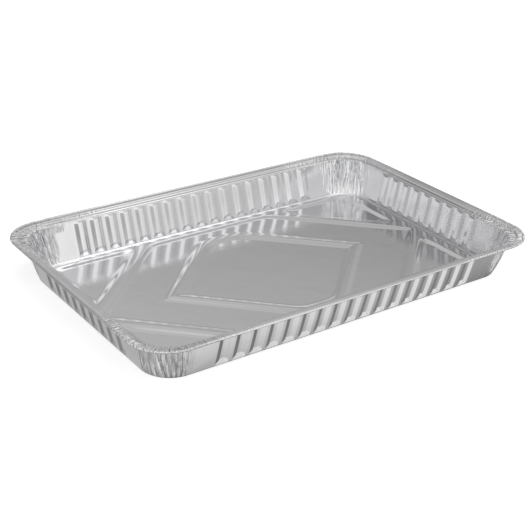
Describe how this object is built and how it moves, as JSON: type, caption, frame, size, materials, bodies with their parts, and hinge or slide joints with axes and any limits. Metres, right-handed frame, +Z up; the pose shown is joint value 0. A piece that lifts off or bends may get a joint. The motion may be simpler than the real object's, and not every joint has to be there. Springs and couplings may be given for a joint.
{
  "type": "foil sheet cake pan",
  "caption": "Shallow rectangular foil baking pan with fluted walls, pleated corners, a rolled flat rim and a ribbed floor with a diamond pattern.",
  "frame": {"origin": "under the middle of the pan, on the surface that it stands on", "axes": "+X along the long walls, +Y along the short walls, +Z up, out of the pan's mouth"},
  "size_m": [0.324, 0.222, 0.031],
  "materials": {
    "foil": "bright"
  },
  "bodies": {
    "root": {"cake_pan": "foil"}
  },
  "joints": []
}
